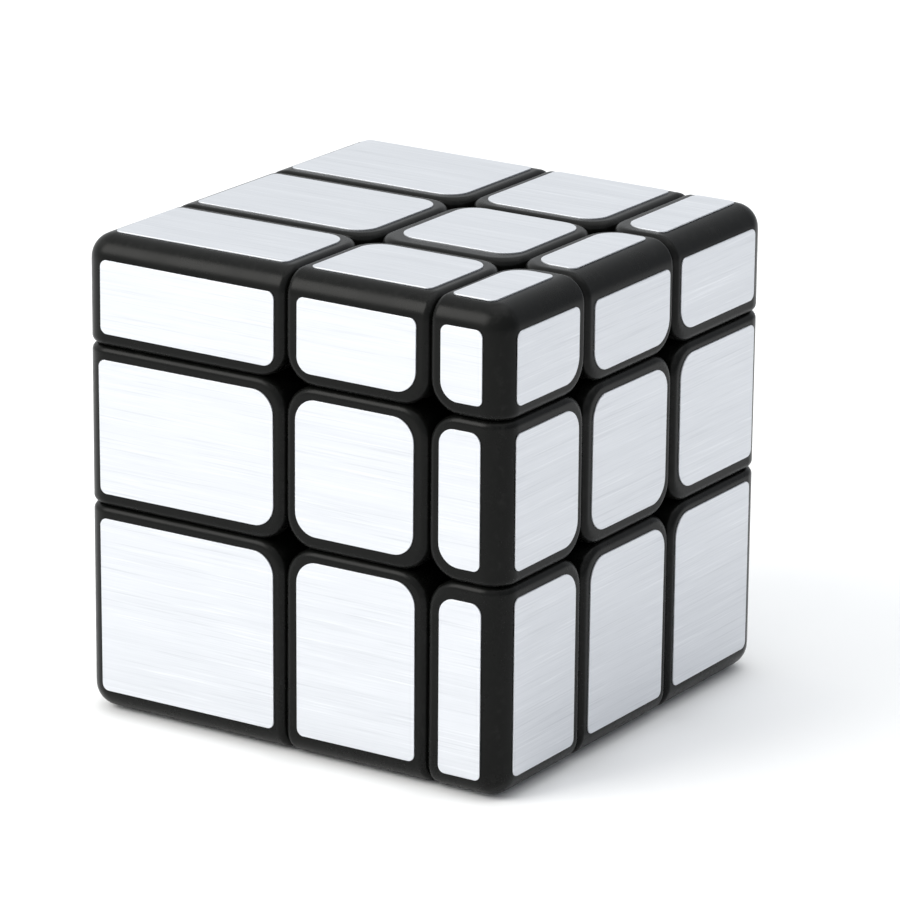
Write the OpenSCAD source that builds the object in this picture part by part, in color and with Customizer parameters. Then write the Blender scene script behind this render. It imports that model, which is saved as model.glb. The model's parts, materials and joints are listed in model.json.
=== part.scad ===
// Mirror block cube: a 3 x 3 x 3 twisting puzzle whose layers differ in thickness.
// Units are millimetres. +Z is up, the front face looks along -Y, the right face along +X.
// The origin is the middle of the face it stands on. All six faces turn about the core's centre.

/* [Layers] */
// Thickness of the middle layer, the same on all three axes
mid_w = 19; // [17:0.5:21]
// Thickness of the left layer
left_w = 28; // [22:0.5:30]
// Thickness of the right layer
right_w = 10; // [9.5:0.5:16]
// Thickness of the front layer
front_w = 17; // [12:0.5:24]
// Thickness of the back layer
back_w = 21; // [12:0.5:26]
// Thickness of the bottom layer
bottom_w = 25; // [16:0.5:28]
// Thickness of the top layer
top_w = 13; // [11:0.5:20]

/* [Blocks] */
// Gap between two neighbouring pieces
gap = 0.3; // [0.2:0.05:0.5]
// Wall thickness of the hollow shells
wall = 1.5; // [1.2:0.1:2]
// Edge of the square plug that closes a shell towards the core
plug = 6; // [5:0.25:6.5]
// Thickness of the lid on a centre piece
cap_t = 1.7; // [1.5:0.05:1.8]
// Glue line between the two mouldings of a piece
glue = 0.05; // [0.03:0.01:0.08]
// Radius along the cube's outer edges
edge_r = 3; // [1.5:0.1:3.5]
// Radius along the edges beside a seam
seam_r = 0.9; // [0.4:0.1:1.4]
// Radius of the upright edges where four pieces meet
cross_r = 3.8; // [2:0.1:4]

/* [Stickers] */
// Thickness of the brushed foil
foil_t = 0.15; // [0.1:0.05:0.3]
// Foil edge to the seam's middle
foil_seam = 1.55; // [1.2:0.05:2]
// Foil edge to the cube's outer side
foil_side = 2.9; // [2:0.1:3.5]
// Foil corner radius where four pieces meet
foil_cross_r = 2.6; // [1:0.1:3]
// Foil corner radius elsewhere
foil_r = 0.85; // [0.4:0.05:1.5]

/* [Mechanism] */
// Radius of the ball-shaped joint surface between the feet and the blocks
ball_r = 18.3; // [17.5:0.1:18.5]
// Running clearance over the feet
ball_gap = 0.3; // [0.2:0.05:0.4]
// Inner radius of the feet
foot_in_r = 12.5; // [11:0.1:13.5]
// Core centre to the sides of the feet
foot_cut = 6.5; // [6:0.1:7.5]
// Radius of the core's hub
hub_r = 5.6; // [5:0.1:6.5]
// Radius of each core arm
arm_r = 3.2; // [2.6:0.1:4]
// Core centre to the end of an arm
arm_end = 8; // [7:0.1:8.5]
// Radius of a centre piece's stem
stem_r = 4.6; // [4.3:0.1:5.5]
// Thickness of the pocket floor the spring presses on
floor_t = 1.5; // [1.2:0.1:2]
// Radius of the spring pocket
pocket_r = 3.9; // [3.8:0.1:4]

/* [Fasteners] */
// Radius of the screw shank
screw_r = 1.15; // [1:0.05:1.3]
// Radius of the screw head
head_r = 2.8; // [2.4:0.1:3.2]
// Height of the screw head
head_h = 1.7; // [1.2:0.1:2]
// Outer radius of the washer
washer_r = 3.5; // [3.2:0.05:3.55]
// Thickness of the washer
washer_t = 0.6; // [0.4:0.1:0.8]
// Wire diameter of the spring
wire_d = 0.8; // [0.6:0.05:0.9]
// Radius of the spring to the middle of its wire
coil_r = 2.95; // [2.6:0.05:3.1]
// Length of the fitted spring
spring_l = 3.3; // [3:0.1:3.5]

/* [Hidden] */
mid = mid_w / 2;
cube_x = left_w + mid_w + right_w;
cube_y = front_w + mid_w + back_w;
cube_z = bottom_w + mid_w + top_w;
// Core centre in the part's frame
core_at = [cube_x / 2 - right_w - mid, front_w + mid - cube_y / 2, bottom_w + mid];
// Core centre to the outer planes, foil included, on the low and the high side of X, Y, Z
low_out = [mid + left_w, mid + front_w, mid + bottom_w];
high_out = [mid + right_w, mid + back_w, mid + top_w];
eps = 0.01;
plastic_colour = [0.14, 0.14, 0.13];
foil_colour = [0.85, 0.86, 0.88];
big = 200;
// Facets of a round edge: fine for the wide ones, fewer for the narrow one
wide_steps = 5;
narrow_steps = 3;
// Straight steps of a spring: turns, steps in a turn, corners of the wire's section
coil_turns = 3;
turn_steps = 18;
wire_sides = 7;
// Heights above the core centre along each face's axis
pocket_z = arm_end + 0.2 + floor_t;
seat_gap = 0.1;
washer_z = pocket_z + seat_gap + spring_l;
head_z = washer_z + washer_t;
shank_z = 4;
pilot_z = 3.5;
// A centre's upper cavity starts clear of the ball surface
cavity_z = ball_r + ball_gap + 0.9;

// Sides of a block. s is -1, 0 or 1 on each axis: the layer the piece belongs to.
// cut is the distance of the dividing planes, skin is how far inside the outer planes it ends.
function low_side(s, i, cut, skin) =
    s < 0 ? -low_out[i] + skin : s > 0 ? cut + gap / 2 : -cut + gap / 2;
function high_side(s, i, cut, skin) =
    s > 0 ? high_out[i] - skin : s < 0 ? -cut - gap / 2 : cut - gap / 2;
function low_corner(s, cut, skin) = [for (i = [0:2]) low_side(s[i], i, cut, skin)];
function high_corner(s, cut, skin) = [for (i = [0:2]) high_side(s[i], i, cut, skin)];

// True where that side of the block is one of the cube's outer sides
function is_outer(s, dir) = s == dir;

// Radius of the edge between two sides of a block, made smaller by inset for its cavity
function edge_radius(outer_a, outer_b, inset) =
    max(0, (outer_a && outer_b ? edge_r : outer_a || outer_b ? seam_r : cross_r) - inset);

// Points of one rounded corner at p, from direction a0, a quarter turn long
function arc_points(p, r, a0) =
    r < 0.05 ? [p + r * [cos(a0 + 45), sin(a0 + 45)]] :
    let (steps = r > 1.2 ? wide_steps : narrow_steps)
    [for (k = [0:steps]) p + r * [cos(a0 + 90 * k / steps), sin(a0 + 90 * k / steps)]];

// Rectangle from lo to hi with its own radius at each corner, anticlockwise from the low corner
function round_rect(lo, hi, r) = concat(
    arc_points([lo[0] + r[0], lo[1] + r[0]], r[0], 180),
    arc_points([hi[0] - r[1], lo[1] + r[1]], r[1], 270),
    arc_points([hi[0] - r[2], hi[1] - r[2]], r[2], 0),
    arc_points([lo[0] + r[3], hi[1] - r[3]], r[3], 90));

// Outline of a block seen along one axis; a and b are the other two axes
function outline(s, a, b, lo, hi, inset) = round_rect([lo[a], lo[b]], [hi[a], hi[b]], [
    edge_radius(is_outer(s[a], -1), is_outer(s[b], -1), inset),
    edge_radius(is_outer(s[a], 1), is_outer(s[b], -1), inset),
    edge_radius(is_outer(s[a], 1), is_outer(s[b], 1), inset),
    edge_radius(is_outer(s[a], -1), is_outer(s[b], 1), inset)]);

// Block with every edge rounded: the common part of three outlines, one along each axis
module round_block(s, inset) {
    lo = low_corner(s, mid, foil_t) + [inset, inset, inset];
    hi = high_corner(s, mid, foil_t) - [inset, inset, inset];
    intersection() {
        translate([0, 0, lo[2]])
            linear_extrude(hi[2] - lo[2])
                polygon(outline(s, 0, 1, lo, hi, inset));
        translate([lo[0], 0, 0])
            rotate([90, 0, 90])
                linear_extrude(hi[0] - lo[0])
                    polygon(outline(s, 1, 2, lo, hi, inset));
        translate([0, hi[1], 0])
            rotate([90, 0, 0])
                linear_extrude(hi[1] - lo[1])
                    polygon(outline(s, 0, 2, lo, hi, inset));
    }
}

// Plain box between two corners
module box(lo, hi) {
    translate(lo)
        cube(hi - lo);
}

// Region of a layer choice s between dividing planes at cut, no further out than reach
module sector(s, cut, reach) {
    box(
        [for (i = [0:2]) s[i] < 0 ? -reach : s[i] > 0 ? cut + gap / 2 : -cut + gap / 2],
        [for (i = [0:2]) s[i] > 0 ? reach : s[i] < 0 ? -cut - gap / 2 : cut - gap / 2]);
}

// Outer box of an edge or corner piece: hollow, and open where the plug of the foot goes in
module shell(s) {
    difference() {
        round_block(s, 0);
        round_block(s, wall);
        sector(s, mid, mid + gap / 2 + plug);
    }
}

// Part of the ball-shaped joint that a piece holds: thick inside the ball, flush with it
module flange(s) {
    difference() {
        intersection() {
            sector(s, foot_cut, ball_r + 1);
            sphere(r = ball_r, $fn = 96);
        }
        sphere(r = foot_in_r, $fn = 72);
    }
}

// Foot of an edge piece: the plug, a neck through the ball surface and the flange
module edge_foot(s) {
    reach = mid + gap / 2 + plug - glue;
    neck_lo = [for (i = [0:2]) s[i] < 0 ? -reach : s[i] > 0 ? mid + gap / 2 : -foot_cut + gap / 2];
    neck_hi = [for (i = [0:2]) s[i] > 0 ? reach : s[i] < 0 ? -mid - gap / 2 : foot_cut - gap / 2];
    difference() {
        sector(s, mid, reach);
        sphere(r = ball_r + ball_gap, $fn = 96);
    }
    box(neck_lo, neck_hi);
    flange(s);
}

// Foot of a corner piece: its plug reaches through the ball surface to the flange
module corner_foot(s) {
    sector(s, mid, mid + gap / 2 + plug - glue);
    flange(s);
}

// Turns the top face's axis onto the outward axis of the face s
module face_axis(s) {
    turn = s[2] > 0 ? [0, 0, 0] : s[2] < 0 ? [180, 0, 0] :
        s[1] < 0 ? [90, 0, 0] : s[1] > 0 ? [-90, 0, 0] :
        s[0] > 0 ? [0, 90, 0] : [0, -90, 0];
    rotate(turn)
        children();
}

// Core centre to the plastic's outer plane on the face s
function face_out(s) = max([for (i = [0:2]) s[i] < 0 ? low_out[i] : s[i] > 0 ? high_out[i] : 0]) - foil_t;

// Half-space beyond t along the axis of the face s
module beyond(s, t) {
    face_axis(s)
        translate([-big / 2, -big / 2, t])
            cube([big, big, big]);
}

// Ball turned so that its seam line lies between the centre pieces
module ball(r) {
    rotate([0, 0, 50])
        sphere(r = r, $fn = 96);
}

// Base of a centre piece: block on a square column, stem on the core's arm, spring pocket
module centre_base(s) {
    top = face_out(s);
    column = foot_cut - gap / 2;
    difference() {
        union() {
            difference() {
                round_block(s, 0);
                ball(ball_r + ball_gap);
                beyond(s, top - cap_t);
            }
            difference() {
                face_axis(s)
                    translate([-column, -column, foot_in_r - 4])
                        cube([2 * column, 2 * column, top - cap_t - foot_in_r + 4]);
                ball(foot_in_r);
            }
            face_axis(s)
                translate([0, 0, arm_end + 0.2])
                    cylinder(r = stem_r, h = foot_in_r - arm_end + 1, $fn = 48);
        }
        face_axis(s)
            translate([0, 0, pocket_z])
                cylinder(r = pocket_r, h = big, $fn = 48);
        face_axis(s)
            translate([0, 0, arm_end - 1])
                cylinder(r = screw_r + 0.35, h = big, $fn = 32);
        if (top - cap_t > cavity_z)
            intersection() {
                face_axis(s)
                    translate([wall - mid + gap / 2, wall - mid + gap / 2, cavity_z])
                        cube([mid_w - gap - 2 * wall, mid_w - gap - 2 * wall, big]);
                round_block(s, wall);
            }
    }
}

// Lid of a centre piece
module centre_cap(s) {
    intersection() {
        round_block(s, 0);
        beyond(s, face_out(s) - cap_t + glue);
    }
}

// The two glued mouldings of each piece, moved to the core's place
module centre_plastic(s) {
    translate(core_at) {
        centre_base(s);
        centre_cap(s);
    }
}

module edge_plastic(s) {
    translate(core_at) {
        shell(s);
        edge_foot(s);
    }
}

module corner_plastic(s) {
    translate(core_at) {
        shell(s);
        corner_foot(s);
    }
}

// Distance from a layer's side to its foil's edge
function foil_inset(s, dir) = is_outer(s, dir) ? foil_side : foil_seam;

// Foil corner radius between two sides: wide only where four pieces meet
function foil_corner(s_a, dir_a, s_b, dir_b) =
    is_outer(s_a, dir_a) || is_outer(s_b, dir_b) ? foil_r : foil_cross_r;

// Foil outline on the two axes a and b; the insets are measured from the undivided planes
function foil_outline(s, a, b) =
    let (
        lo = low_corner(s, mid, 0) - [for (i = [0:2]) is_outer(s[i], -1) ? 0 : gap / 2],
        hi = high_corner(s, mid, 0) + [for (i = [0:2]) is_outer(s[i], 1) ? 0 : gap / 2]
    )
    round_rect(
        [lo[a] + foil_inset(s[a], -1), lo[b] + foil_inset(s[b], -1)],
        [hi[a] - foil_inset(s[a], 1), hi[b] - foil_inset(s[b], 1)],
        [foil_corner(s[a], -1, s[b], -1), foil_corner(s[a], 1, s[b], -1),
         foil_corner(s[a], 1, s[b], 1), foil_corner(s[a], -1, s[b], 1)]);

// One foil on each outer side of the piece
module foils(s) {
    translate(core_at) {
        if (s[0] != 0)
            translate([s[0] > 0 ? high_out[0] - foil_t : -low_out[0], 0, 0])
                rotate([90, 0, 90])
                    linear_extrude(foil_t)
                        polygon(foil_outline(s, 1, 2));
        if (s[1] != 0)
            translate([0, s[1] > 0 ? high_out[1] : -low_out[1] + foil_t, 0])
                rotate([90, 0, 0])
                    linear_extrude(foil_t)
                        polygon(foil_outline(s, 0, 2));
        if (s[2] != 0)
            translate([0, 0, s[2] > 0 ? high_out[2] - foil_t : -low_out[2]])
                linear_extrude(foil_t)
                    polygon(foil_outline(s, 0, 1));
    }
}

// The six outward face directions
face_dirs = [[0, 0, 1], [0, 0, -1], [0, -1, 0], [0, 1, 0], [-1, 0, 0], [1, 0, 0]];

// Puts a child on each of the six faces' axes
module on_each_face() {
    translate(core_at)
        for (s = face_dirs)
            face_axis(s)
                children();
}

// Core: a ball with six arms, each with a blind pilot hole for its screw
module core() {
    color("dimgray")
        translate(core_at)
            difference() {
                union() {
                    sphere(r = hub_r, $fn = 64);
                    for (s = face_dirs)
                        face_axis(s)
                            cylinder(r = arm_r, h = arm_end, $fn = 40);
                }
                for (s = face_dirs)
                    face_axis(s)
                        translate([0, 0, pilot_z])
                            cylinder(r = screw_r + 0.05, h = arm_end, $fn = 32);
            }
}

// Screw with a cross recess in its head
module core_screws() {
    color("silver")
        on_each_face()
            difference() {
                union() {
                    translate([0, 0, shank_z])
                        cylinder(r = screw_r, h = head_z - shank_z + eps, $fn = 32);
                    translate([0, 0, head_z])
                        cylinder(r = head_r, h = head_h, $fn = 40);
                }
                translate([0, 0, head_z + head_h])
                    cube([3.4, 0.8, 2], center = true);
                translate([0, 0, head_z + head_h])
                    cube([0.8, 3.4, 2], center = true);
            }
}

module screw_washers() {
    color("gainsboro")
        on_each_face()
            translate([0, 0, washer_z])
                difference() {
                    cylinder(r = washer_r, h = washer_t, $fn = 48);
                    translate([0, 0, -1])
                        cylinder(r = screw_r + 0.1, h = 3, $fn = 32);
                }
}

// Centre line of the spring's wire: height rises evenly, half a wire inside each end
function coil_height(u) = wire_d / 2 + (spring_l - wire_d) * u;
function coil_point(k, j) =
    let (
        a = 360 * k / turn_steps,
        b = 360 * j / wire_sides,
        r = coil_r + wire_d / 2 * cos(b)
    )
    [r * cos(a), r * sin(a), coil_height(k / (coil_turns * turn_steps)) + wire_d / 2 * sin(b)];

module coil_spring() {
    steps = coil_turns * turn_steps;
    points = [for (k = [0:steps]) for (j = [0:wire_sides - 1]) coil_point(k, j)];
    sides = [for (k = [0:steps - 1]) for (j = [0:wire_sides - 1]) [
        k * wire_sides + j,
        k * wire_sides + (j + 1) % wire_sides,
        (k + 1) * wire_sides + (j + 1) % wire_sides,
        (k + 1) * wire_sides + j]];
    first_end = [for (j = [wire_sides - 1:-1:0]) j];
    last_end = [for (j = [0:wire_sides - 1]) steps * wire_sides + j];
    polyhedron(points, concat([first_end, last_end], sides));
}

module core_springs() {
    color("lightgray")
        on_each_face()
            translate([0, 0, pocket_z + seat_gap])
                coil_spring();
}

module centre_top() {
    color(plastic_colour)
        centre_plastic([0, 0, 1]);
}

module centre_top_foil() {
    color(foil_colour)
        foils([0, 0, 1]);
}

module centre_bottom() {
    color(plastic_colour)
        centre_plastic([0, 0, -1]);
}

module centre_bottom_foil() {
    color(foil_colour)
        foils([0, 0, -1]);
}

module centre_front() {
    color(plastic_colour)
        centre_plastic([0, -1, 0]);
}

module centre_front_foil() {
    color(foil_colour)
        foils([0, -1, 0]);
}

module centre_back() {
    color(plastic_colour)
        centre_plastic([0, 1, 0]);
}

module centre_back_foil() {
    color(foil_colour)
        foils([0, 1, 0]);
}

module centre_left() {
    color(plastic_colour)
        centre_plastic([-1, 0, 0]);
}

module centre_left_foil() {
    color(foil_colour)
        foils([-1, 0, 0]);
}

module centre_right() {
    color(plastic_colour)
        centre_plastic([1, 0, 0]);
}

module centre_right_foil() {
    color(foil_colour)
        foils([1, 0, 0]);
}

module edge_top_front() {
    color(plastic_colour)
        edge_plastic([0, -1, 1]);
}

module edge_top_front_foils() {
    color(foil_colour)
        foils([0, -1, 1]);
}

module edge_top_back() {
    color(plastic_colour)
        edge_plastic([0, 1, 1]);
}

module edge_top_back_foils() {
    color(foil_colour)
        foils([0, 1, 1]);
}

module edge_top_left() {
    color(plastic_colour)
        edge_plastic([-1, 0, 1]);
}

module edge_top_left_foils() {
    color(foil_colour)
        foils([-1, 0, 1]);
}

module edge_top_right() {
    color(plastic_colour)
        edge_plastic([1, 0, 1]);
}

module edge_top_right_foils() {
    color(foil_colour)
        foils([1, 0, 1]);
}

module edge_bottom_front() {
    color(plastic_colour)
        edge_plastic([0, -1, -1]);
}

module edge_bottom_front_foils() {
    color(foil_colour)
        foils([0, -1, -1]);
}

module edge_bottom_back() {
    color(plastic_colour)
        edge_plastic([0, 1, -1]);
}

module edge_bottom_back_foils() {
    color(foil_colour)
        foils([0, 1, -1]);
}

module edge_bottom_left() {
    color(plastic_colour)
        edge_plastic([-1, 0, -1]);
}

module edge_bottom_left_foils() {
    color(foil_colour)
        foils([-1, 0, -1]);
}

module edge_bottom_right() {
    color(plastic_colour)
        edge_plastic([1, 0, -1]);
}

module edge_bottom_right_foils() {
    color(foil_colour)
        foils([1, 0, -1]);
}

module edge_front_left() {
    color(plastic_colour)
        edge_plastic([-1, -1, 0]);
}

module edge_front_left_foils() {
    color(foil_colour)
        foils([-1, -1, 0]);
}

module edge_front_right() {
    color(plastic_colour)
        edge_plastic([1, -1, 0]);
}

module edge_front_right_foils() {
    color(foil_colour)
        foils([1, -1, 0]);
}

module edge_back_left() {
    color(plastic_colour)
        edge_plastic([-1, 1, 0]);
}

module edge_back_left_foils() {
    color(foil_colour)
        foils([-1, 1, 0]);
}

module edge_back_right() {
    color(plastic_colour)
        edge_plastic([1, 1, 0]);
}

module edge_back_right_foils() {
    color(foil_colour)
        foils([1, 1, 0]);
}

module corner_top_front_left() {
    color(plastic_colour)
        corner_plastic([-1, -1, 1]);
}

module corner_top_front_left_foils() {
    color(foil_colour)
        foils([-1, -1, 1]);
}

module corner_top_front_right() {
    color(plastic_colour)
        corner_plastic([1, -1, 1]);
}

module corner_top_front_right_foils() {
    color(foil_colour)
        foils([1, -1, 1]);
}

module corner_top_back_left() {
    color(plastic_colour)
        corner_plastic([-1, 1, 1]);
}

module corner_top_back_left_foils() {
    color(foil_colour)
        foils([-1, 1, 1]);
}

module corner_top_back_right() {
    color(plastic_colour)
        corner_plastic([1, 1, 1]);
}

module corner_top_back_right_foils() {
    color(foil_colour)
        foils([1, 1, 1]);
}

module corner_bottom_front_left() {
    color(plastic_colour)
        corner_plastic([-1, -1, -1]);
}

module corner_bottom_front_left_foils() {
    color(foil_colour)
        foils([-1, -1, -1]);
}

module corner_bottom_front_right() {
    color(plastic_colour)
        corner_plastic([1, -1, -1]);
}

module corner_bottom_front_right_foils() {
    color(foil_colour)
        foils([1, -1, -1]);
}

module corner_bottom_back_left() {
    color(plastic_colour)
        corner_plastic([-1, 1, -1]);
}

module corner_bottom_back_left_foils() {
    color(foil_colour)
        foils([-1, 1, -1]);
}

module corner_bottom_back_right() {
    color(plastic_colour)
        corner_plastic([1, 1, -1]);
}

module corner_bottom_back_right_foils() {
    color(foil_colour)
        foils([1, 1, -1]);
}

core();
core_screws();
screw_washers();
core_springs();
centre_top();
centre_top_foil();
centre_bottom();
centre_bottom_foil();
centre_front();
centre_front_foil();
centre_back();
centre_back_foil();
centre_left();
centre_left_foil();
centre_right();
centre_right_foil();
edge_top_front();
edge_top_front_foils();
edge_top_back();
edge_top_back_foils();
edge_top_left();
edge_top_left_foils();
edge_top_right();
edge_top_right_foils();
edge_bottom_front();
edge_bottom_front_foils();
edge_bottom_back();
edge_bottom_back_foils();
edge_bottom_left();
edge_bottom_left_foils();
edge_bottom_right();
edge_bottom_right_foils();
edge_front_left();
edge_front_left_foils();
edge_front_right();
edge_front_right_foils();
edge_back_left();
edge_back_left_foils();
edge_back_right();
edge_back_right_foils();
corner_top_front_left();
corner_top_front_left_foils();
corner_top_front_right();
corner_top_front_right_foils();
corner_top_back_left();
corner_top_back_left_foils();
corner_top_back_right();
corner_top_back_right_foils();
corner_bottom_front_left();
corner_bottom_front_left_foils();
corner_bottom_front_right();
corner_bottom_front_right_foils();
corner_bottom_back_left();
corner_bottom_back_left_foils();
corner_bottom_back_right();
corner_bottom_back_right_foils();
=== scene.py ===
import json
import math
import random

import bmesh
import bpy
import numpy as np
from mathutils import Matrix, Vector

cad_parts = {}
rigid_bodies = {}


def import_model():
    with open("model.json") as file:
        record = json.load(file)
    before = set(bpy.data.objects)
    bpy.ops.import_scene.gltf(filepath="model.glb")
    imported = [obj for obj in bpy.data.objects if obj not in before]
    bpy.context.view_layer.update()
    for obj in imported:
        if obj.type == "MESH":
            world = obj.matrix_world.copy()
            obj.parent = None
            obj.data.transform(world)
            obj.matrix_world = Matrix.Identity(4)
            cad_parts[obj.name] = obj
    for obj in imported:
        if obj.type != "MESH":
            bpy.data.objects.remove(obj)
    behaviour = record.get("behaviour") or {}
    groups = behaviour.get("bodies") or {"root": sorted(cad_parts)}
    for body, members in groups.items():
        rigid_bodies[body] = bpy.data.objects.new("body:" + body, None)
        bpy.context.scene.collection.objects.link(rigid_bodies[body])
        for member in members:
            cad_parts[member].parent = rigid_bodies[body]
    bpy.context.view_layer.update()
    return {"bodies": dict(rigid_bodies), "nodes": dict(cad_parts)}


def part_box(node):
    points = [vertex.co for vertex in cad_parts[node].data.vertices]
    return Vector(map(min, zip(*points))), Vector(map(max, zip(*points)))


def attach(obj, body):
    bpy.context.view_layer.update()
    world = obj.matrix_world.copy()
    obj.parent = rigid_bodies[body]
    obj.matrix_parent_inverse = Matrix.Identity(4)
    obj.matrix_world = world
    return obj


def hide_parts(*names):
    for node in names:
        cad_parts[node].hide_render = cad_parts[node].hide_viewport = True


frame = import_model()

MM = 0.001

# Sizes in millimetres that the CAD nodes' boxes don't say
CAD_GAP = 0.3           # between two neighbouring pieces in the CAD
SEAM_GAP = 0.02         # the same gap here, so narrow that hardly any light shows through the seams
OUTER_R = 3.0           # the cube's outer edges
CROSS_R = 3.8           # edges where four pieces meet
SHOULDER_R = 0.9        # edges beside a seam
BALL_R = 18.6           # the blocks end at this ball around the core
CENTRE_CUT = 17.55      # height over the core where a centre's block sits on its column
COLUMN_GAP = 0.05       # between the column's end and that block
FOIL_T = 0.15           # foil thickness
FOIL_RIM = 0.05         # width of a foil's softened rim
FOIL_SEAM = 1.55        # foil edge to the seam's middle
FOIL_SIDE = 2.9         # foil edge to the cube's outer side
FOIL_R = 0.85           # foil corners beside the cube's outer side
FOIL_CROSS_R = 2.7      # the other foil corners
FOIL_SLIP = 0.16        # largest random shift of a foil that isn't in FITTED_SHIFTS
FOIL_SLANT = 0.35       # largest random slant of a foil, in degrees
FAR_AWAY = 1000.0       # more than any distance here

# The random draws of a piece start from a seed of its own
FIRST_SEED = 1009
SEED_STEP = 77

# Axis and side that each face looks along
FACES = {
    "top": (2, 1),
    "bottom": (2, -1),
    "front": (1, -1),
    "back": (1, 1),
    "left": (0, -1),
    "right": (0, 1),
}

PIECES = sorted(n for n in frame["bodies"] if n != "core")

# The core's centre, the middle layer's half width and the plastic's outer planes, from the CAD boxes
front_lo, front_hi = (np.array(v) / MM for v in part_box("centre_front"))
right_lo, right_hi = (np.array(v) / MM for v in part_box("centre_right"))
CORE = np.array([
    (front_lo[0] + front_hi[0]) / 2,
    (right_lo[1] + right_hi[1]) / 2,
    (front_lo[2] + front_hi[2]) / 2])
HALF = (front_hi[0] - front_lo[0] + CAD_GAP - SEAM_GAP) / 2
corner_boxes = [[np.array(v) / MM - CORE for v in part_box(n)] for n in PIECES if n.startswith("corner")]
PLASTIC_LO = np.min([box[0] for box in corner_boxes], axis=0)
PLASTIC_HI = np.max([box[1] for box in corner_boxes], axis=0)


def layer_choice(name):
    """-1, 0 or 1 on each axis: the layer a piece sits in, read from its name."""
    layer = [0, 0, 0]
    for word in name.split("_")[1:]:
        axis, side = FACES[word]
        layer[axis] = side
    return layer


def centre_axis(layer):
    """Axis and side that a centre looks along; None and 0 for an edge or a corner."""
    outer = [i for i in range(3) if layer[i] != 0]
    return (outer[0], layer[outer[0]]) if len(outer) == 1 else (None, 0)


# Shape of a block

def block_box(layer):
    """Lowest and highest corner of a piece's block, in mm from the core's centre."""
    lo, hi = np.zeros(3), np.zeros(3)
    for i in range(3):
        if layer[i] == 0:
            lo[i], hi[i] = -HALF, HALF
        elif layer[i] > 0:
            lo[i], hi[i] = HALF + SEAM_GAP, PLASTIC_HI[i]
        else:
            lo[i], hi[i] = PLASTIC_LO[i], -HALF - SEAM_GAP
    return lo, hi


def rounded_distance(beyond, radius):
    """Signed distance to the common inside of planes, with their edges rounded.

    beyond: how far each point lies beyond each plane."""
    outside = np.linalg.norm(np.maximum(beyond + radius, 0), axis=-1)
    inside = np.minimum((beyond + radius).max(axis=-1), 0)
    return outside + inside - radius


def block_distance(p, layer):
    """Signed distance to a block whose outer edges, shoulders and crossing edges have their own radii."""
    lo, hi = block_box(layer)
    outer = np.full(p.shape, -FAR_AWAY)
    seam = np.full(p.shape, -FAR_AWAY)
    for i in range(3):
        above, below = p[..., i] - hi[i] + SHOULDER_R, lo[i] + SHOULDER_R - p[..., i]
        if layer[i] == 0:
            seam[..., i] = np.maximum(above, below)
        elif layer[i] > 0:
            outer[..., i], seam[..., i] = above, below
        else:
            outer[..., i], seam[..., i] = below, above
    outer_part = rounded_distance(outer, OUTER_R - SHOULDER_R)
    seam_part = rounded_distance(seam, CROSS_R - SHOULDER_R)
    return rounded_distance(np.stack([outer_part, seam_part], axis=-1) - SHOULDER_R, SHOULDER_R)


def piece_distance(p, layer):
    """The block less the ball; a centre's block ends in a plane over the ball instead."""
    axis, side = centre_axis(layer)
    if axis is None:
        return np.maximum(block_distance(p, layer), BALL_R - np.linalg.norm(p, axis=-1))
    return np.maximum(block_distance(p, layer), CENTRE_CUT - p[..., axis] * side)


# Mesh of a block, in mm. It starts as a box with lines of points at these distances in from its sides
EDGE_STEPS = [0.0, 0.10, 0.22, 0.36, 0.52, 0.70, 0.92, 1.25, 1.7, 2.3, 3.1, 4.05]
BALL_STEPS = [5.5, 7.2, 9.45]       # further lines, from the side near the ball
MIDDLE_STEP = 2.7                   # a middle layer has lines this far to both sides of its middle
LINE_ROOM = 0.3                     # least room between these further lines and those by the edge
INNER_FROM, INNER_TO = 18.45, 18.5  # a centre's inner box spans at least these heights over the core
SAME_PLACE = 1e-6                   # places nearer to each other than this are the same
TRIES = 80                          # samples along a point's way to the surface
HALVINGS = 26                       # of the stretch between the two samples on its sides
SLOPE_STEP = 0.002                  # to both sides of a point whose slope is measured
ON_SURFACE = 0.003                  # nearer than this, a point lies on the block's own surface
FULL_WEAR = 0.29                    # the tilt in mid-edge, about 1 less the cosine of 45 degrees
TINY = 1e-9                         # keeps a slope of zero from being divided by zero


def outer_and_inner_box(layer):
    """The box that a block's mesh starts as, and the box that its points are drawn in towards."""
    lo, hi = block_box(layer)
    inset = EDGE_STEPS[-1]
    outer, inner = np.array([lo, hi]), np.array([lo + inset, hi - inset])
    axis, side = centre_axis(layer)
    if axis is not None:
        top = max(abs(lo[axis]), abs(hi[axis]))
        inner[:, axis] = sorted((side * INNER_FROM, side * max(INNER_TO, top - inset)))
        outer[0 if side > 0 else 1, axis] = side * CENTRE_CUT
    return outer, inner


def mesh_lines(low, high, inner_low, inner_high, side):
    """Places of the lines along one axis. side: the layer on it; None on the axis of a centre's column."""
    lower = [low + e for e in EDGE_STEPS if low + e < inner_low + SAME_PLACE]
    upper = [high - e for e in reversed(EDGE_STEPS) if high - e > inner_high - SAME_PLACE]
    between = []
    if side == 0:
        between = [-MIDDLE_STEP, 0.0, MIDDLE_STEP]
    elif side == 1:
        between = [low + e for e in BALL_STEPS if low + e < upper[0] - LINE_ROOM]
    elif side == -1:
        between = [high - e for e in reversed(BALL_STEPS) if high - e > lower[-1] + LINE_ROOM]
    return lower + between + upper


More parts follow.
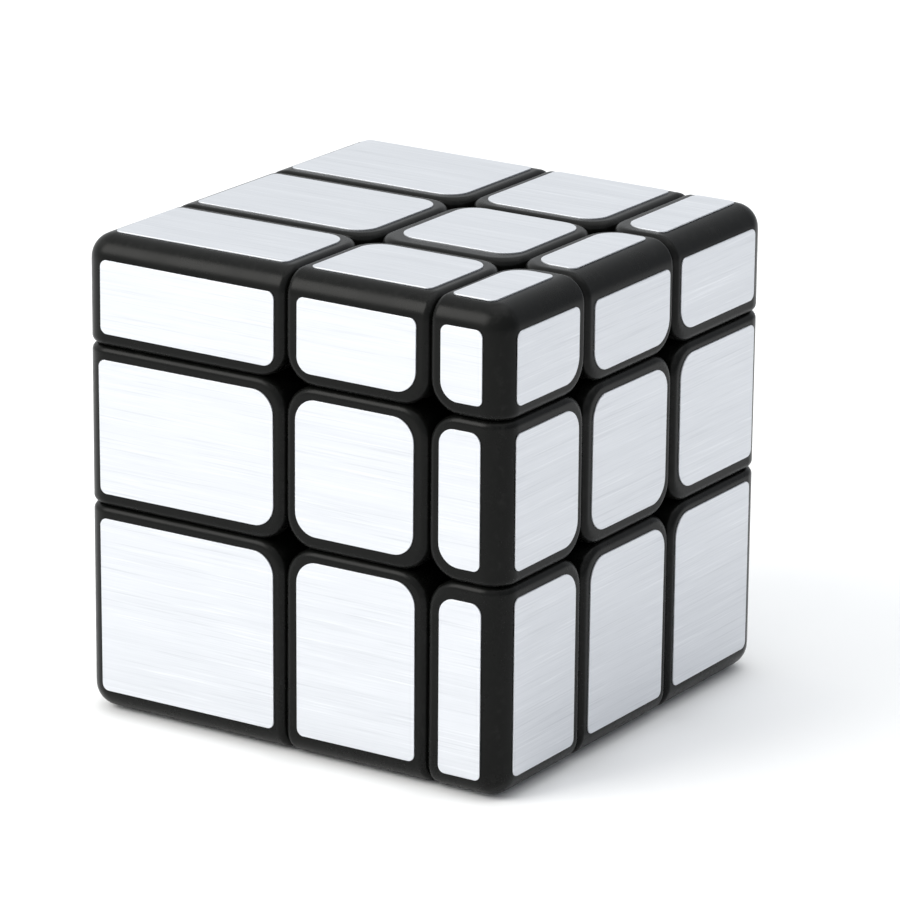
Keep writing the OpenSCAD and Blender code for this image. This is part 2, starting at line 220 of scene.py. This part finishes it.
def box_grid(lines):
    """Points and quads of a closed box with grid lines at the given places of the three axes."""
    last = [len(places) - 1 for places in lines]
    index, points, quads = {}, [], []

    def vertex(key):
        if key not in index:
            index[key] = len(points)
            points.append([lines[i][key[i]] for i in range(3)])
        return index[key]

    for i in range(3):
        u, v = (i + 1) % 3, (i + 2) % 3
        for end in (0, last[i]):
            for a in range(last[u]):
                for b in range(last[v]):
                    ring = []
                    for da, db in ((0, 0), (1, 0), (1, 1), (0, 1)):
                        key = [0, 0, 0]
                        key[i], key[u], key[v] = end, a + da, b + db
                        ring.append(vertex(tuple(key)))
                    quads.append(ring if end else ring[::-1])
    return np.array(points), quads


def surface_points(p, q, layer):
    """Where the straight ways from the inner points q out to the points p first leave the piece."""
    shares = np.linspace(0, 1, TRIES + 1)[:, None, None]
    out = piece_distance(q + (p - q) * shares, layer) > 0
    first = np.where(out.any(axis=0), out.argmax(axis=0), TRIES)
    near, far = np.maximum(first - 1, 0) / TRIES, first / TRIES
    for _ in range(HALVINGS):
        mid = (near + far) / 2
        outside = piece_distance(q + (p - q) * mid[:, None], layer) > 0
        near, far = np.where(outside, near, mid), np.where(outside, mid, far)
    return q + (p - q) * ((near + far) / 2)[:, None]


def block_normals(p, layer):
    """Directions in which the block's distance grows fastest, at the points p."""
    slope = np.zeros(p.shape)
    for i in range(3):
        d = np.zeros(3)
        d[i] = SLOPE_STEP
        slope[:, i] = block_distance(p + d, layer) - block_distance(p - d, layer)
    length = np.linalg.norm(slope, axis=1)
    return slope / np.maximum(length, TINY)[:, None]


def block_mesh(name, layer):
    """Closed mesh of a block: points on its box are drawn in until they lie on the surface."""
    outer, inner = outer_and_inner_box(layer)
    axis, _ = centre_axis(layer)
    sides = [None if i == axis else layer[i] for i in range(3)]
    lines = [mesh_lines(*outer[:, i], *inner[:, i], sides[i]) for i in range(3)]
    box_points, quads = box_grid(lines)
    p = surface_points(box_points, np.clip(box_points, inner[0], inner[1]), layer)
    slope = block_normals(p, layer)
    on_block = np.abs(block_distance(p, layer)) < ON_SURFACE
    mesh = bpy.data.meshes.new(name)
    mesh.from_pydata(((p + CORE) * MM).tolist(), [], quads)
    mesh.update()
    for polygon in mesh.polygons:
        polygon.use_smooth = True
    normals = np.zeros((len(p), 3))
    for vert in mesh.vertices:
        normals[vert.index] = vert.normal
    normals = np.where(on_block[:, None], slope, normals)
    mesh.normals_split_custom_set_from_vertices(normals.tolist())
    tilt = 1 - np.abs(slope).max(axis=1)
    worn = np.where(on_block, np.clip(tilt / FULL_WEAR, 0, 1), 0)
    attribute = mesh.attributes.new("edge", "FLOAT", "POINT")
    attribute.data.foreach_set("value", worn.astype(np.float32))
    return mesh


# Foot of an edge or corner, or a centre's column

WELD = 1e-6             # metres; vertices nearer to each other than this become one
CUT_ROOM = 1e-8         # metres; vertices nearer to the cut than this lie on it
SHARP_FROM = 28         # degrees between two faces


def connected_parts(bm):
    """The sets of vertices that hang together."""
    left = set(bm.verts)
    parts = []
    while left:
        seed = left.pop()
        part, queue = {seed}, [seed]
        while queue:
            for edge in queue.pop().link_edges:
                for vert in edge.verts:
                    if vert not in part:
                        part.add(vert)
                        queue.append(vert)
        left -= part
        parts.append(part)
    return parts


def inner_mesh(name, layer):
    """The inner part of a piece's CAD mesh, the one that comes nearest to the core."""
    bm = bmesh.new()
    bm.from_mesh(frame["nodes"][name].data)
    bmesh.ops.remove_doubles(bm, verts=bm.verts, dist=WELD)
    centre = Vector(CORE * MM)
    inner = min(connected_parts(bm), key=lambda part: min((vert.co - centre).length for vert in part))
    bmesh.ops.delete(bm, geom=[vert for vert in bm.verts if vert not in inner], context="VERTS")
    if centre_axis(layer)[0] is not None:
        direction = Vector([float(side) for side in layer])
        at = centre + direction * (CENTRE_CUT - COLUMN_GAP) * MM
        bmesh.ops.bisect_plane(
            bm, geom=bm.verts[:] + bm.edges[:] + bm.faces[:], dist=CUT_ROOM,
            plane_co=at, plane_no=direction, clear_outer=True)
        rim = [edge for edge in bm.edges if len(edge.link_faces) == 1]
        bmesh.ops.triangle_fill(bm, use_beauty=True, use_dissolve=False, edges=rim)
        bmesh.ops.recalc_face_normals(bm, faces=bm.faces)
    mesh = bpy.data.meshes.new(name + "_inner")
    bm.to_mesh(mesh)
    bm.free()
    for polygon in mesh.polygons:
        polygon.use_smooth = True
    mesh.set_sharp_from_angle(angle=math.radians(SHARP_FROM))
    return mesh


# Foils. A face's first axis is the one after its own, in the order x, y, z, x, and its second the next

# How far each side of a foil lies from its place, in mm (low and high side along the face's first axis,
# then along its second). These rows aren't chosen by hand: they come from measuring programs' offsets,
# partly reduced, and are rounded to 0.1
FITTED_SHIFTS = {
    "centre_top.top": (0.2, 0.1, 0.9, 0.4),
    "corner_top_front_right.top": (-0.3, -0.3, -0.3, -0.3),
    "corner_top_front_left.front": (0, 0.1, 0, 0.2),
    "edge_top_front.front": (0, 0.1, 0.2, 0),
    "corner_top_front_right.front": (0.1, 0.1, 0.1, -0.1),
    "edge_front_left.front": (0.1, 0.1, -0.3, 0.1),
    "centre_front.front": (0.2, 0.2, 0, -0.2),
    "edge_front_right.front": (0.2, 0.1, 0, -0.2),
    "corner_bottom_front_left.front": (-0.1, 0.2, -0.3, 0.1),
    "edge_bottom_front.front": (0, 0.3, 0.2, 0.1),
    "corner_bottom_front_right.front": (-0.4, -0.4, 0.2, 0.1),
    "corner_top_back_right.right": (-0.3, -0.3, 0.2, 0.2),
    "edge_top_right.right": (0, 0.2, -0.2, -0.3),
    "corner_top_front_right.right": (-0.3, -0.2, 0, -0.1),
    "edge_back_right.right": (0, 0, 0.2, 0.3),
    "centre_right.right": (0, 0, 0.1, 0.1),
    "edge_front_right.right": (-0.3, 0, 0.1, 0),
    "corner_bottom_back_right.right": (-0.3, -0.2, 0.1, 0.3),
    "edge_bottom_right.right": (0, 0.1, -0.1, 0.1),
    "corner_bottom_front_right.right": (-0.2, -0.1, -0.2, 0.1),
}

# A foil's corners, anticlockwise on its first and second axis
CORNERS = ((-1, -1), (1, -1), (1, 1), (-1, 1))

# Foils whose corners are cut to radii of their own, in that order; estimated
OWN_RADII = {
    "corner_top_front_left.front": (0.85, 0.85, 0.85, 1.5),
    "edge_top_front.front": (1.8, 0.85, 0.85, 2.7),
    "corner_top_front_right.front": (2.2, 0.85, 0.85, 0.7),
    "edge_front_right.front": (2.6, 1.9, 1.3, 0.85),
    "corner_bottom_front_right.front": (0.85, 1.9, 1.3, 0.7),
}

# The outline's rings from the block up to the foil's flat: how far in they run, and how high
RIM_RINGS = ((0, 0), (0, FOIL_T - FOIL_RIM), (0.3 * FOIL_RIM, FOIL_T - 0.3 * FOIL_RIM), (FOIL_RIM, FOIL_T))
ARC_STEPS = 10
GRAIN_FIELD = 9.0       # metres; the foils' stretches of brushing lie in a cube of this size


def foil_outline(low, high, radii):
    """Rounded rectangle, anticlockwise, each corner with its own radius."""
    points = []
    for number, ((du, dv), r) in enumerate(zip(CORNERS, radii)):
        x = (high[0] if du > 0 else low[0]) - du * r
        y = (high[1] if dv > 0 else low[1]) - dv * r
        for k in range(ARC_STEPS + 1):
            a = math.radians(180 + 90 * number + 90 * k / ARC_STEPS)
            points.append((x + r * math.cos(a), y + r * math.sin(a)))
    return np.array(points)


def foil_plate(face, piece, layer, rng):
    """Lowest and highest corner, corner radii and slant of one foil, on the two axes along its face."""
    lo, hi = block_box(layer)
    i = FACES[face][0]
    u, v = (i + 1) % 3, (i + 2) % 3
    slip_u = rng.uniform(-FOIL_SLIP, FOIL_SLIP)
    slip_v = rng.uniform(-FOIL_SLIP, FOIL_SLIP)
    slant = math.radians(rng.uniform(-FOIL_SLANT, FOIL_SLANT))
    laid = FITTED_SHIFTS.get(f"{piece}.{face}", (slip_u, slip_u, slip_v, slip_v))
    low, high = np.array([laid[0], laid[2]], float), np.array([laid[1], laid[3]], float)
    for k, j in enumerate((u, v)):
        low[k] += lo[j] + (FOIL_SIDE - FOIL_T if layer[j] < 0 else FOIL_SEAM - SEAM_GAP / 2)
        high[k] += hi[j] - (FOIL_SIDE - FOIL_T if layer[j] > 0 else FOIL_SEAM - SEAM_GAP / 2)
    radii = [FOIL_R if layer[u] == du or layer[v] == dv else FOIL_CROSS_R for du, dv in CORNERS]
    return low, high, OWN_RADII.get(f"{piece}.{face}", radii), slant


def foil_mesh(name, piece, layer, rng):
    """All foils of one piece: thin plates with a softened rim, each with its own stretch of brushing."""
    verts, faces, grain = [], [], []
    for face, (i, side) in FACES.items():
        if layer[i] != side:
            continue
        u, v = (i + 1) % 3, (i + 2) % 3
        low, high, radii, slant = foil_plate(face, piece, layer, rng)
        middle = (low + high) / 2
        turn = np.array([[math.cos(slant), -math.sin(slant)], [math.sin(slant), math.cos(slant)]])
        base = block_box(layer)[side > 0][i]
        start = np.array([rng.uniform(0, GRAIN_FIELD) for _ in range(3)])
        rings = []
        for inset, height in RIM_RINGS:
            ring = []
            for local in foil_outline(low + inset, high - inset, [r - inset for r in radii]):
                p = np.zeros(3)
                p[i] = base + side * height
                p[u], p[v] = (local - middle) @ turn.T + middle
                ring.append(len(verts))
                verts.append((p + CORE) * MM)
                # The brushing runs along y on the left and right faces, and along x on the others
                along, across = local if i != 1 else local[::-1]
                grain.append(start + np.array([along * MM, across * MM, 0]))
            rings.append(ring)
        n = len(rings[0])
        new = [rings[0][::-1], rings[-1]]
        for below, above in zip(rings, rings[1:]):
            new += [[below[k], below[(k + 1) % n], above[(k + 1) % n], above[k]] for k in range(n)]
        faces += new if side > 0 else [ring[::-1] for ring in new]
    mesh = bpy.data.meshes.new(name)
    mesh.from_pydata([list(p) for p in verts], [], faces)
    mesh.update()
    attribute = mesh.attributes.new("grain", "FLOAT_VECTOR", "POINT")
    attribute.data.foreach_set("vector", np.array(grain, np.float32).ravel())
    return mesh


# Materials. Most of a noise's values lie in this range
MOST = (0.3, 0.7)


class Nodes:
    """Small helper that adds shader nodes and links them."""

    def __init__(self, name):
        self.material = bpy.data.materials.new(name)
        self.material.use_nodes = True
        self.tree = self.material.node_tree
        self.shader = self.tree.nodes["Principled BSDF"]

    def add(self, kind, inputs=None, **settings):
        node = self.tree.nodes.new(kind)
        for key, value in settings.items():
            setattr(node, key, value)
        for key, value in (inputs or {}).items():
            self.put(value, node.inputs[key])
        return node

    def put(self, value, socket):
        """Links a socket to another, or sets it to a constant."""
        if isinstance(value, bpy.types.NodeSocket):
            self.tree.links.new(value, socket)
        else:
            socket.default_value = value

    def surface(self, **inputs):
        """Sets the shader's inputs; an underscore in a name stands for a space."""
        for key, value in inputs.items():
            self.put(value, self.shader.inputs[key.replace("_", " ")])

    def math(self, operation, a, b, clamp=False):
        return self.add("ShaderNodeMath", {0: a, 1: b}, operation=operation, use_clamp=clamp).outputs[0]

    def remap(self, value, source, target):
        return self.add("ShaderNodeMapRange", {
            "Value": value, "From Min": source[0], "From Max": source[1],
            "To Min": target[0], "To Max": target[1]}).outputs[0]

    def noise(self, vector, scale, detail=2.0, rough=0.5):
        return self.add("ShaderNodeTexNoise", {
            "Vector": vector, "Scale": scale, "Detail": detail, "Roughness": rough}).outputs["Fac"]

    def place(self, scale=(1, 1, 1)):
        """Object coordinates, times scale."""
        position = self.add("ShaderNodeTexCoord").outputs["Object"]
        return self.add("ShaderNodeMapping", {"Vector": position, "Scale": scale}).outputs[0]

    def bump(self, height, strength, distance, normal=None):
        inputs = {"Height": height, "Strength": strength, "Distance": distance}
        if normal is not None:
            inputs["Normal"] = normal
        return self.add("ShaderNodeBump", inputs).outputs[0]

    def colour(self, factor, dark, light):
        """Mix of two colours; 6 and 7 are the mix node's colour inputs and 2 is its colour output."""
        node = self.add("ShaderNodeMix", data_type="RGBA")
        self.put(factor, node.inputs["Factor"])
        self.put((*dark, 1), node.inputs[6])
        self.put((*light, 1), node.inputs[7])
        return node.outputs[2]


def black_plastic():
    """Satin moulded plastic, a little lighter and duller where its edges are rubbed."""
    n = Nodes("black_plastic")
    at = n.place()
    edge = n.add("ShaderNodeAttribute", attribute_name="edge").outputs["Fac"]
    grain = n.noise(at, scale=9000, detail=3)
    cloud = n.noise(at, scale=160, detail=4, rough=0.6)
    scuff = n.noise(at, scale=900, detail=5, rough=0.65)
    rubbed = n.math("MULTIPLY", edge, n.remap(scuff, (0.5, 0.68), (0, 1)), clamp=True)
    fine = n.bump(grain, strength=0.10, distance=0.00002)
    n.surface(
        Base_Color=n.colour(rubbed, dark=(0.0034, 0.0036, 0.0032), light=(0.0085, 0.0085, 0.008)),
        Roughness=n.math("ADD", n.remap(cloud, MOST, (0.24, 0.32)), n.math("MULTIPLY", rubbed, 0.08)),
        Specular_IOR_Level=0.12,
        Normal=n.bump(cloud, strength=0.25, distance=0.00006, normal=fine))
    return n.material


def silver_foil():
    """Brushed foil. The mesh's grain attribute runs along and across the brushing on each foil."""
    n = Nodes("silver_foil")
    at = n.add("ShaderNodeAttribute", attribute_name="grain").outputs["Vector"]

    def streaks(along, across, detail, shift=0.0):
        """Noise that is drawn out along the brushing; its scales are per metre."""
        between_foils = 7
        stretch = n.add("ShaderNodeMapping", {
            "Vector": at, "Location": (shift, shift, shift), "Scale": (along, across, between_foils)})
        return n.noise(stretch.outputs[0], scale=1.0, detail=detail, rough=0.55)

    fine = streaks(along=90, across=6500, detail=3)
    light = n.remap(streaks(along=80, across=3600, detail=2, shift=31.0), (0.57, 0.74), (0, 1))
    dark = n.remap(streaks(along=70, across=4200, detail=2, shift=57.0), (0.56, 0.75), (0, 1))
    bands = streaks(along=20, across=700, detail=2, shift=11.0)
    haze = n.noise(at, scale=55, detail=2)
    body = n.math("ADD", n.remap(fine, MOST, (0.32, 0.56)), n.remap(bands, MOST, (0.0, 0.14)))
    lightened = n.math("ADD", body, n.math("MULTIPLY", light, 0.29))
    shade = n.math("SUBTRACT", lightened, n.math("MULTIPLY", dark, 0.32), clamp=True)
    n.surface(
        Base_Color=n.colour(shade, dark=(0.580, 0.596, 0.626), light=(0.790, 0.804, 0.832)),
        Metallic=1.0,
        Roughness=n.math("ADD", n.remap(fine, MOST, (0.46, 0.53)), n.math("MULTIPLY", haze, 0.05)),
        Normal=n.bump(shade, strength=0.5, distance=0.00002))
    return n.material


def plain_metal(name, dark, light, roughness, scale):
    n = Nodes(name)
    grain = n.noise(n.place((scale, scale, scale)), scale=1.0, detail=4, rough=0.6)
    n.surface(
        Base_Color=n.colour(n.remap(grain, (0.35, 0.65), (0, 1)), dark, light),
        Metallic=1.0,
        Roughness=n.remap(grain, MOST, roughness),
        Normal=n.bump(grain, strength=0.15, distance=0.00002))
    return n.material


def core_plastic():
    n = Nodes("core_plastic")
    at = n.place()
    grain = n.noise(at, scale=5000, detail=3)
    cloud = n.noise(at, scale=300, detail=3)
    n.surface(
        Base_Color=n.colour(cloud, dark=(0.028, 0.028, 0.029), light=(0.045, 0.045, 0.046)),
        Roughness=n.remap(cloud, MOST, (0.45, 0.6)),
        Normal=n.bump(grain, strength=0.2, distance=0.00003))
    return n.material


def floor_material():
    n = Nodes("floor")
    cloud = n.noise(n.place(), scale=14, detail=3)
    n.surface(
        Base_Color=n.colour(cloud, dark=(0.90, 0.90, 0.90), light=(0.925, 0.925, 0.925)),
        Roughness=0.7)
    return n.material


# The pieces

def show(mesh, name, material, body):
    """Puts a mesh into the scene, on the body it rides on."""
    piece = bpy.data.objects.new(name, mesh)
    bpy.context.scene.collection.objects.link(piece)
    mesh.materials.clear()
    mesh.materials.append(material)
    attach(piece, body)
    return piece


BLACK = black_plastic()
SILVER = silver_foil()

for number, name in enumerate(PIECES):
    layer = layer_choice(name)
    rng = random.Random(FIRST_SEED + SEED_STEP * number)
    block = show(block_mesh(name + ".block", layer), name + ".block", BLACK, name)
    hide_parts(name)
    show(inner_mesh(name, layer), name + ".foot", BLACK, name)
    foils = name + ("_foil" if name.startswith("centre") else "_foils")
    plates_mesh = foil_mesh(foils + ".brushed", name, layer, rng)
    plates = show(plates_mesh, foils + ".brushed", SILVER, name)
    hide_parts(foils)

# The core and what holds the centres on it are the CAD's own meshes
STEEL = plain_metal("screw_steel", (0.42, 0.41, 0.39), (0.62, 0.61, 0.58), roughness=(0.22, 0.34), scale=900)
WIRE = plain_metal("spring_steel", (0.34, 0.34, 0.35), (0.52, 0.52, 0.53), roughness=(0.28, 0.4), scale=1500)
MECHANISM = {"core": core_plastic(), "core_screws": STEEL, "screw_washers": STEEL, "core_springs": WIRE}
for node, material in MECHANISM.items():
    data = frame["nodes"][node].data
    data.materials.clear()
    data.materials.append(material)


# Stage, lights and camera, in metres

FLOOR_HALF = 3.0                        # half the floor's side
LIGHTS_AIM = (0, 0, 0.03)
SKY_BRIGHTEST = (-0.70, -0.30, 0.65)    # the way towards the brightest sky
SKY_DARK, SKY_LIGHT = (0.40, 0.43, 0.49, 1), (1.30, 1.32, 1.32, 1)
SKY_STRENGTH = 0.86
# The camera's place, angles and lens come from a fitting program too
CAMERA_AT = (0.31924, -0.49029, 0.21256)
CAMERA_AZIMUTH = 32.8108                # degrees from the front towards the right
CAMERA_ELEVATION = 17.4221              # degrees; it looks down by as much
CAMERA_ROLL = 0.5200                    # degrees
CAMERA_LENS, CAMERA_SENSOR = 212.0, 36.0    # mm


def build_floor():
    bm = bmesh.new()
    bmesh.ops.create_grid(bm, x_segments=8, y_segments=8, size=FLOOR_HALF)
    mesh = bpy.data.meshes.new("floor")
    bm.to_mesh(mesh)
    bm.free()
    mesh.materials.append(floor_material())
    floor = bpy.data.objects.new("floor", mesh)
    bpy.context.scene.collection.objects.link(floor)


def build_sky():
    """Sky light: brightest towards the front left, a little blue and darker towards the back right."""
    world = bpy.data.worlds.new("studio")
    bpy.context.scene.world = world
    world.use_nodes = True
    tree = world.node_tree
    way = tree.nodes.new("ShaderNodeTexCoord").outputs["Generated"]
    dot = tree.nodes.new("ShaderNodeVectorMath")
    dot.operation = "DOT_PRODUCT"
    dot.inputs[1].default_value = Vector(SKY_BRIGHTEST).normalized()
    tree.links.new(way, dot.inputs[0])
    ramp = tree.nodes.new("ShaderNodeMapRange")
    ramp.inputs["From Min"].default_value = -1
    tree.links.new(dot.outputs["Value"], ramp.inputs["Value"])
    mix = tree.nodes.new("ShaderNodeMix")
    mix.data_type = "RGBA"
    mix.inputs[6].default_value = SKY_DARK
    mix.inputs[7].default_value = SKY_LIGHT
    tree.links.new(ramp.outputs["Result"], mix.inputs["Factor"])
    background = tree.nodes["Background"]
    tree.links.new(mix.outputs[2], background.inputs["Color"])
    background.inputs["Strength"].default_value = SKY_STRENGTH


def area_light(name, at, side, power, colour=(1, 1, 1)):
    """Square light that looks at the cube."""
    light = bpy.data.lights.new(name, "AREA")
    light.shape = "RECTANGLE"
    light.size, light.size_y = side, side
    light.energy = power
    light.color = colour
    lamp = bpy.data.objects.new(name, light)
    lamp.location = at
    lamp.rotation_euler = (Vector(LIGHTS_AIM) - Vector(at)).to_track_quat("-Z", "Y").to_euler()
    bpy.context.scene.collection.objects.link(lamp)


def build_camera():
    camera = bpy.data.cameras.new("camera")
    camera.sensor_width = CAMERA_SENSOR
    camera.lens = CAMERA_LENS
    camera.clip_start, camera.clip_end = 0.01, 20
    eye = bpy.data.objects.new("camera", camera)
    turn = Matrix.Rotation(math.radians(CAMERA_AZIMUTH), 4, "Z")
    lift = Matrix.Rotation(math.radians(90 - CAMERA_ELEVATION), 4, "X")
    roll = Matrix.Rotation(math.radians(CAMERA_ROLL), 4, "Z")
    eye.matrix_world = Matrix.Translation(CAMERA_AT) @ turn @ lift @ roll
    bpy.context.scene.collection.objects.link(eye)
    bpy.context.scene.camera = eye


build_floor()
build_sky()
area_light("key", (-0.55, -0.75, 0.75), side=0.7, power=8.4, colour=(1.0, 0.985, 0.95))
area_light("top", (0.1, 0.15, 0.95), side=0.9, power=2.8)
bpy.context.scene.view_settings.view_transform = "Standard"
build_camera()
bpy.context.view_layer.update()
